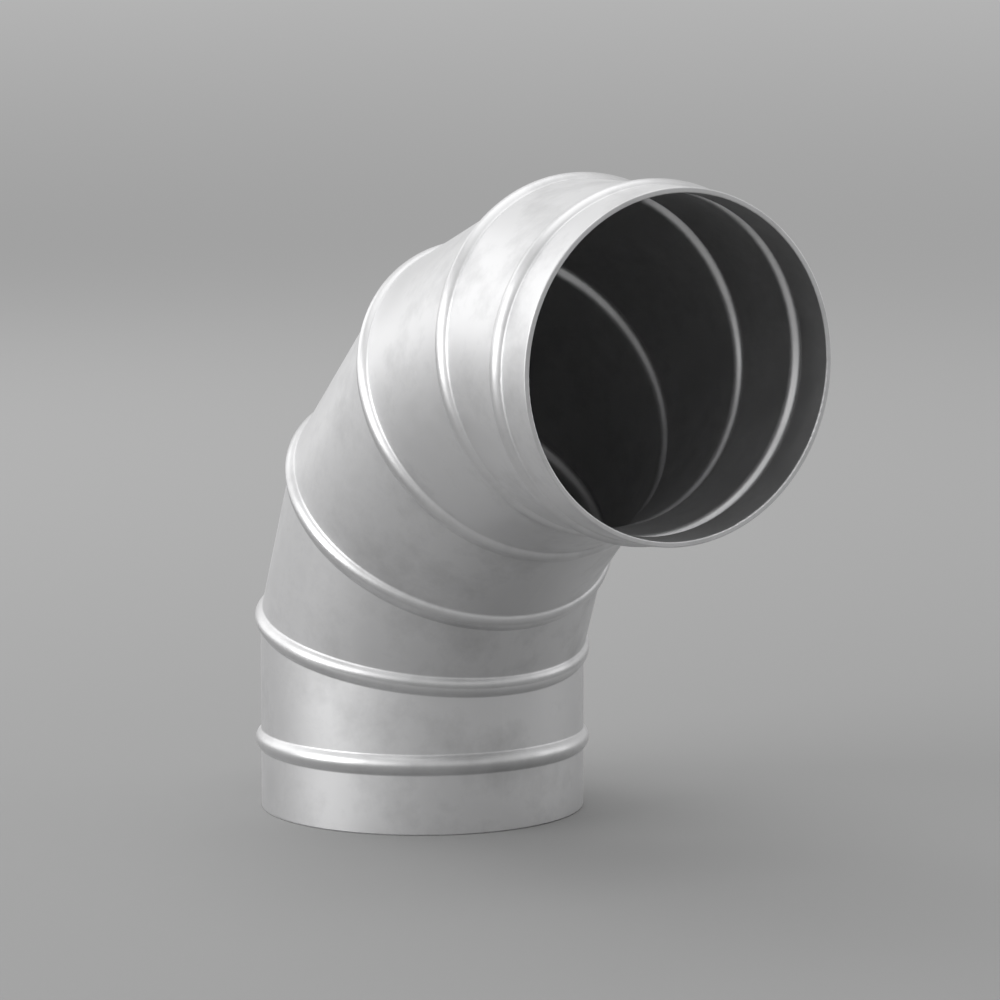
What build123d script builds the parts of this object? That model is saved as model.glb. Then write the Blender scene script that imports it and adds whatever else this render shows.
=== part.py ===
from build123d import *
import os
from math import atan, cos, degrees, radians, sin, tan

# Ninety degree vent pipe elbow, made of five rolled sheet-metal gores. A gore is a tube
# cut at a slant where the pipe turns. Its slanted edge is flared outwards into half of a
# round bead, and the edges of two neighbours meet in one plane, so that a joint shows as
# a ridge outside and a groove inside. Each end gore also carries a whole bead, which
# stops a sleeve pushed over the collar. The elbow stands on its base rim and turns from
# +Z towards +X. All sizes are in millimetres.

# pipe and sheet
pipe_diameter = 100.0
sheet = 1.6
edge_round = 0.4  # corners of the two open rims, broken by hand

# centre line, leg by leg, from the base rim through the four mitres to the mouth rim
base_leg = 55.1
lower_leg = 44.4
middle_leg = 55.5
upper_leg = 47.3
mouth_leg = 46.0

# turn at each mitre in degrees, from the base up; the last one completes the elbow
elbow_angle = 90.0
first_angle = 23.6
second_angle = 25.3
third_angle = 20.9
last_angle = elbow_angle - first_angle - second_angle - third_angle

# stop beads, from their rim to the middle of the bead
base_stop = 21.4
mouth_stop = 15.6

# bead section, at the middle of the sheet: hollow bend at the foot, round bend over the top
bead_rise = 1.7
bead_reach = 3.4  # from the foot to the crest, along the pipe
crest_bend = 2.6

outside = pipe_diameter / 2
inside = outside - sheet
lean = 2 * atan(bead_rise / bead_reach)  # steepest side of the bead, off the pipe's wall
foot_bend = bead_reach / sin(lean) - crest_bend


def up_to_crest(radius, height, offset):
    """Half a bead from its foot on the wall to its crest, in the R-Z half plane."""
    foot = JernArc((radius, height), (0, 1), foot_bend - offset, -degrees(lean))
    crest = JernArc(foot @ 1, foot % 1, crest_bend + offset, degrees(lean))
    return [foot, crest]


def down_from_crest(radius, height, offset):
    """The other half, from the crest back to the wall."""
    crest = JernArc((radius, height), (0, 1), crest_bend + offset, degrees(lean))
    foot = JernArc(crest @ 1, crest % 1, foot_bend - offset, -degrees(lean))
    return [crest, foot]


def turned(outer, inner):
    """Solid of revolution between two lines that run up the sheet's faces."""
    bottom = Line(inner[0] @ 0, outer[0] @ 0)
    top = Line(outer[-1] @ 1, inner[-1] @ 1)
    section = make_face(Curve() + [*outer, top, *inner, bottom])
    return revolve(Plane.XZ * section, Axis.Z)


def half_bead():
    """Flared edge of a gore before it is slanted: foot below, crest at height 0."""
    outer = up_to_crest(outside, -bead_reach, sheet / 2)
    inner = up_to_crest(inside, -bead_reach, -sheet / 2)
    return turned(outer, inner)


def slope(turn):
    """Fall of a mitre across the pipe, for a joint that turns the pipe so far."""
    return tan(radians(turn / 2))


def flared_edge(leg, turn):
    """Half bead in its place over an upright pipe, low on the inside of the turn (+X)."""
    lean_over = Matrix([[1, 0, 0, 0], [0, 1, 0, 0], [-slope(turn), 0, 1, 0], [0, 0, 0, 1]])
    return Pos(0, 0, leg) * half_bead().transform_geometry(lean_over)


def cut_below_bead(tube, leg, turn):
    """End an upright tube where the half bead of its mitre begins."""
    top = Plane((0, 0, leg - bead_reach), (1, 0, -slope(turn)), (slope(turn), 0, 1))
    return split(tube, top, keep=Keep.BOTTOM)


def turned_over(shape, height):
    """Stand a shape on its head, so that its level 0 comes to the given height."""
    return Pos(0, 0, height) * Rot(180, 0, 0) * shape


def gore(leg, turn_below, turn_above):
    """Middle gore: lower joint at the origin, the turn's inside on +X."""
    piece = Pos(0, 0, leg / 2) * (Cylinder(outside, 2 * leg) - Cylinder(inside, 2 * leg))
    for turn in (turn_above, turn_below):
        piece = cut_below_bead(piece, leg, turn) + flared_edge(leg, turn)
        piece = turned_over(piece, leg)
    return piece


def collar(leg, stop, turn):
    """End gore: open rim at height 0, joint above, stop bead between them."""
    bead_foot = stop - bead_reach
    wall_end = leg + outside  # past the slanted cut
    walls = []
    for radius, offset in ((outside, sheet / 2), (inside, -sheet / 2)):
        start = Line((radius, 0), (radius, bead_foot))
        rise = up_to_crest(radius, bead_foot, offset)
        fall = down_from_crest(radius + bead_rise, stop, offset)
        rest = Line(fall[-1] @ 1, (radius, wall_end))
        walls.append([start, *rise, *fall, rest])
    tube = turned(*walls)
    rim_edges = tube.edges().group_by(Axis.Z)[0]
    tube = fillet(rim_edges, edge_round)
    return cut_below_bead(tube, leg, turn) + flared_edge(leg, turn)


def build():
    """All gores in their places along the centre line."""
    middle_gores = (
        ("lower_gore", lower_leg, first_angle, second_angle),
        ("middle_gore", middle_leg, second_angle, third_angle),
        ("upper_gore", upper_leg, third_angle, last_angle),
    )
    pieces = {"base_collar": collar(base_leg, base_stop, first_angle)}
    place = Pos(0, 0, base_leg) * Rot(0, first_angle, 0)
    for name, leg, turn_below, turn_above in middle_gores:
        pieces[name] = place * gore(leg, turn_below, turn_above)
        place = place * Pos(0, 0, leg) * Rot(0, turn_above, 0)
    pieces["mouth_collar"] = place * turned_over(collar(mouth_leg, mouth_stop, last_angle), mouth_leg)
    return pieces


os.makedirs("parts", exist_ok=True)
for name, piece in build().items():
    solid = piece.solids()[0]
    export_step(solid, f"parts/{name}.step")
    print(name, "solids", len(piece.solids()), "faces", len(solid.faces()), "valid", solid.is_valid,
          "volume", round(solid.volume, 1))
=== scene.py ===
import math

import bpy
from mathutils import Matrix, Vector

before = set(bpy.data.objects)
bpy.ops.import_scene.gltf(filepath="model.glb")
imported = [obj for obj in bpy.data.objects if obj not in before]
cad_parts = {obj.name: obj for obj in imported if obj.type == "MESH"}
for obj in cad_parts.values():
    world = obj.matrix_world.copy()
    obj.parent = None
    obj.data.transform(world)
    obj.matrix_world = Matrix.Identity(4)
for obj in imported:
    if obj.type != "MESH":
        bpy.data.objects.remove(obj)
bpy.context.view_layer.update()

# the pipe, in metres, as the frame has it
pipe = {
    "radius": 0.050,
    "wall": 0.0016,
    "beadRise": 0.0017,
    "turns": [23.6, 25.3, 20.9, 20.2],  # degrees at each mitre, from the base up
    "legs": [0.0551, 0.0444, 0.0555, 0.0473, 0.0460],  # centre line, rim to rim
}

gores = ["base_collar", "lower_gore", "middle_gore", "upper_gore", "mouth_collar"]


def goreFrames():
    """ start point and turn of each gore's own axis, in the XZ plane """
    x, z, frames = 0.0, 0.0, []
    for i, leg in enumerate(pipe["legs"]):
        angle = math.radians(sum(pipe["turns"][:i]))
        frames.append((Vector((x, 0, z)), angle))
        x += leg * math.sin(angle)
        z += leg * math.cos(angle)
    return frames


# satin sheet steel: what a user would change
steel = {
    "colour": (0.72, 0.72, 0.725),
    "smudgeColour": (0.50, 0.50, 0.503),
    "smudgeAmount": 0.75,
    "smudgeScale": 48.0,
    "grainScale": (900.0, 900.0, 14.0),  # long along the pipe
    "grainDepth": 0.00001,
    "rippleScale": (16.0, 16.0, 7.0),
    "rippleDepth": 0.00012,
    "roughness": 0.47,
    "roughnessSpread": 0.07,
    "crestPolish": 0.10,
}


def link(tree, source, sourceSocket, target, targetSocket):
    tree.links.new(source.outputs[sourceSocket], target.inputs[targetSocket])


def node(tree, kind, x, y, **settings):
    n = tree.nodes.new(kind)
    n.location = (x, y)
    for key, value in settings.items():
        setattr(n, key, value)
    return n


def mathNode(tree, operation, x, y, a=None, b=None):
    n = node(tree, "ShaderNodeMath", x, y, operation=operation)
    if a is not None:
        n.inputs[0].default_value = a
    if b is not None:
        n.inputs[1].default_value = b
    return n


def noiseNode(tree, x, y, scale, detail, rough, seedShift=0.0):
    n = node(tree, "ShaderNodeTexNoise", x, y)
    n.noise_dimensions = "4D"
    n.inputs["W"].default_value = seedShift
    n.inputs["Scale"].default_value = scale
    n.inputs["Detail"].default_value = detail
    n.inputs["Roughness"].default_value = rough
    return n


def satinSteel(name, origin, angle, seed):
    mat = bpy.data.materials.new(name)
    mat.use_nodes = True
    t = mat.node_tree
    t.nodes.clear()
    out = node(t, "ShaderNodeOutputMaterial", 900, 0)
    bsdf = node(t, "ShaderNodeBsdfPrincipled", 600, 0)
    bsdf.inputs["Metallic"].default_value = 1.0
    link(t, bsdf, "BSDF", out, "Surface")

    coord = node(t, "ShaderNodeTexCoord", -1500, 0)
    # first to the gore's own start, then its axis turned upright
    shift = node(t, "ShaderNodeMapping", -1300, 0)
    shift.inputs["Location"].default_value = -origin
    upright = node(t, "ShaderNodeMapping", -1100, 0)
    upright.inputs["Rotation"].default_value = (0, -angle, 0)
    link(t, coord, "Object", shift, "Vector")
    link(t, shift, "Vector", upright, "Vector")

    # distance from the pipe's axis picks out the bead crests
    split = node(t, "ShaderNodeSeparateXYZ", -900, -500)
    link(t, upright, "Vector", split, "Vector")
    xx = mathNode(t, "POWER", -700, -450, b=2.0)
    yy = mathNode(t, "POWER", -700, -620, b=2.0)
    link(t, split, "X", xx, 0)
    link(t, split, "Y", yy, 0)
    summed = mathNode(t, "ADD", -520, -520)
    link(t, xx, 0, summed, 0)
    link(t, yy, 0, summed, 1)
    radius = mathNode(t, "SQRT", -360, -520)
    link(t, summed, 0, radius, 0)
    crest = node(t, "ShaderNodeMapRange", -180, -520)
    crest.interpolation_type = "SMOOTHSTEP"
    crest.inputs["From Min"].default_value = pipe["radius"] + 0.3 * pipe["beadRise"]
    crest.inputs["From Max"].default_value = pipe["radius"] + pipe["beadRise"]
    link(t, radius, 0, crest, "Value")

    smudge = noiseNode(t, -700, 300, steel["smudgeScale"], 5.0, 0.62, seed)
    link(t, upright, "Vector", smudge, "Vector")
    smudgeRamp = node(t, "ShaderNodeMapRange", -500, 300)
    smudgeRamp.inputs["From Min"].default_value = 0.48
    smudgeRamp.inputs["From Max"].default_value = 0.75
    smudgeRamp.inputs["To Max"].default_value = steel["smudgeAmount"]
    link(t, smudge, "Fac", smudgeRamp, "Value")

    grainMap = node(t, "ShaderNodeMapping", -900, 40)
    grainMap.inputs["Scale"].default_value = steel["grainScale"]
    link(t, upright, "Vector", grainMap, "Vector")
    grain = noiseNode(t, -700, 40, 1.0, 2.0, 0.5, seed + 7)
    link(t, grainMap, "Vector", grain, "Vector")

    rippleMap = node(t, "ShaderNodeMapping", -900, -200)
    rippleMap.inputs["Scale"].default_value = steel["rippleScale"]
    link(t, upright, "Vector", rippleMap, "Vector")
    ripple = noiseNode(t, -700, -200, 1.0, 1.0, 0.4, seed + 3)
    link(t, rippleMap, "Vector", ripple, "Vector")

    tint = node(t, "ShaderNodeMix", -250, 260, data_type="RGBA")
    # the colour sockets of a Mix node come after its number and vector ones
    tint.inputs[6].default_value = (*steel["colour"], 1)
    tint.inputs[7].default_value = (*steel["smudgeColour"], 1)
    link(t, smudgeRamp, "Result", tint, 0)
    link(t, tint, 2, bsdf, "Base Color")

    rough = node(t, "ShaderNodeMapRange", -250, 40)
    rough.inputs["From Min"].default_value = 0.3
    rough.inputs["From Max"].default_value = 0.7
    rough.inputs["To Min"].default_value = steel["roughness"] - steel["roughnessSpread"]
    rough.inputs["To Max"].default_value = steel["roughness"] + steel["roughnessSpread"]
    link(t, smudge, "Fac", rough, "Value")
    polish = mathNode(t, "MULTIPLY", 0, -400, b=steel["crestPolish"])
    link(t, crest, "Result", polish, 0)
    finalRough = mathNode(t, "SUBTRACT", 200, 0)
    link(t, rough, "Result", finalRough, 0)
    link(t, polish, 0, finalRough, 1)
    link(t, finalRough, 0, bsdf, "Roughness")

    waves = node(t, "ShaderNodeBump", 200, -250)
    waves.inputs["Distance"].default_value = steel["rippleDepth"]
    link(t, ripple, "Fac", waves, "Height")
    scratch = node(t, "ShaderNodeBump", 400, -250)
    scratch.inputs["Distance"].default_value = steel["grainDepth"]
    link(t, grain, "Fac", scratch, "Height")
    link(t, waves, "Normal", scratch, "Normal")
    link(t, scratch, "Normal", bsdf, "Normal")
    return mat


for i, (name, (origin, angle)) in enumerate(zip(gores, goreFrames())):
    mat = satinSteel("satinSteel" + str(i + 1), origin, angle, 11.3 * (i + 1))
    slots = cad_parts[name].material_slots
    for s in slots:
        s.material = mat
print("gores dressed")

# floor with painted shade: its colour runs darker near the front edge of the table and paler far
# behind the elbow, painted in place of the fall-off of light
floorPaintedShade = {
    "size": 60.0,
    "nearPaintedShade": (0.355, 0.355, 0.355),
    "farPaintedLight": (0.80, 0.80, 0.80),
    "frontEdge": (1.132, -0.617),  # metres; the shade runs back from here
    "backward": 149.0,  # degrees, the way it runs
    "fade": 2.5,
}


def floorWithPaintedShade():
    mat = bpy.data.materials.new("paleFloorPaintedShade")
    mat.use_nodes = True
    t = mat.node_tree
    bsdf = t.nodes["Principled BSDF"]
    bsdf.inputs["Roughness"].default_value = 1.0
    bsdf.inputs["Specular IOR Level"].default_value = 0.0
    coord = node(t, "ShaderNodeTexCoord", -1300, 0)
    fromEdge = node(t, "ShaderNodeMapping", -1100, 0, vector_type="TEXTURE")
    fromEdge.inputs["Location"].default_value = (*floorPaintedShade["frontEdge"], 0)
    fromEdge.inputs["Rotation"].default_value = (0, 0, math.radians(floorPaintedShade["backward"]))
    parts = node(t, "ShaderNodeSeparateXYZ", -900, 0)
    away = mathNode(t, "MAXIMUM", -720, 0, b=1.0)
    nearness = mathNode(t, "DIVIDE", -560, 0, a=1.0)
    depth = mathNode(t, "SUBTRACT", -400, 0, a=1.0)
    faded = mathNode(t, "POWER", -240, 0, b=floorPaintedShade["fade"])
    # painted shade: the floor's colour blends from a dark tone near the front edge to a pale one
    # far back
    shade = node(t, "ShaderNodeMix", -80, 0, data_type="RGBA")
    # the colour sockets of a Mix node come after its number and vector ones
    shade.inputs[6].default_value = (*floorPaintedShade["nearPaintedShade"], 1)
    shade.inputs[7].default_value = (*floorPaintedShade["farPaintedLight"], 1)
    link(t, coord, "Object", fromEdge, "Vector")
    link(t, fromEdge, "Vector", parts, "Vector")
    link(t, parts, "X", away, 0)
    link(t, away, 0, nearness, 1)
    link(t, nearness, 0, depth, 1)
    link(t, depth, 0, faded, 0)
    link(t, faded, 0, shade, 0)
    link(t, shade, 2, bsdf, "Base Color")
    return mat


bpy.ops.object.select_all(action="DESELECT")
bpy.ops.mesh.primitive_plane_add(size=floorPaintedShade["size"], location=(0, 0, 0))
floor = bpy.context.object
floor.name = "floor"
floor.data.materials.append(floorWithPaintedShade())
print("floor laid")

# lamps: where each hangs, how large it is and how bright; all look at the elbow's middle
aim = Vector((0.045, 0.0, 0.10))
lamps = {
    "top": {"place": (0.0, 0.0, 1.6), "size": 1.6, "power": 6.49},
    "topback": {"place": (-1.0, 0.1, 1.3), "size": 1.5, "power": 2.46},
    "left": {"place": (-0.2, -1.6, 0.5), "size": 1.2, "power": 12.88},
    "backleft": {"place": (-1.5, -0.8, 0.8), "size": 1.3, "power": 4.72},
    "frontleft": {"place": (0.8, -1.5, 0.5), "size": 1.0, "power": 1.64},
    "right": {"place": (0.5, 1.6, 0.4), "size": 1.0, "power": 1.84},
}
for name, lamp in lamps.items():
    data = bpy.data.lights.new(name, "AREA")
    data.shape = "SQUARE"
    data.size = lamp["size"]
    data.energy = lamp["power"]
    lampObject = bpy.data.objects.new(name, data)
    lampObject.location = lamp["place"]
    lampObject.rotation_euler = (aim - Vector(lamp["place"])).to_track_quat("-Z", "Y").to_euler()
    bpy.context.scene.collection.objects.link(lampObject)

world = bpy.data.worlds.new("studio")
world.use_nodes = True
world.node_tree.nodes["Background"].inputs["Color"].default_value = (1, 1, 1, 1)
world.node_tree.nodes["Background"].inputs["Strength"].default_value = 0.598
bpy.context.scene.world = world
print("lamps hung")

# camera, level, at the photograph's place
cameraSetting = {
    "place": (1.13223, -0.61663, 0.26148),
    "aim": (0.01169, 0.02108, 0.09504),
    "lens": 151.63,
    "sensor": 36.0,
}
cameraData = bpy.data.cameras.new("camera")
cameraData.lens = cameraSetting["lens"]
cameraData.sensor_width = cameraSetting["sensor"]
cameraData.clip_end = 100.0
camera = bpy.data.objects.new("camera", cameraData)
place = Vector(cameraSetting["place"])
camera.location = place
camera.rotation_euler = (Vector(cameraSetting["aim"]) - place).to_track_quat("-Z", "Y").to_euler()
bpy.context.scene.collection.objects.link(camera)
bpy.context.scene.camera = camera
bpy.context.scene.view_settings.view_transform = "Standard"
print("camera set")
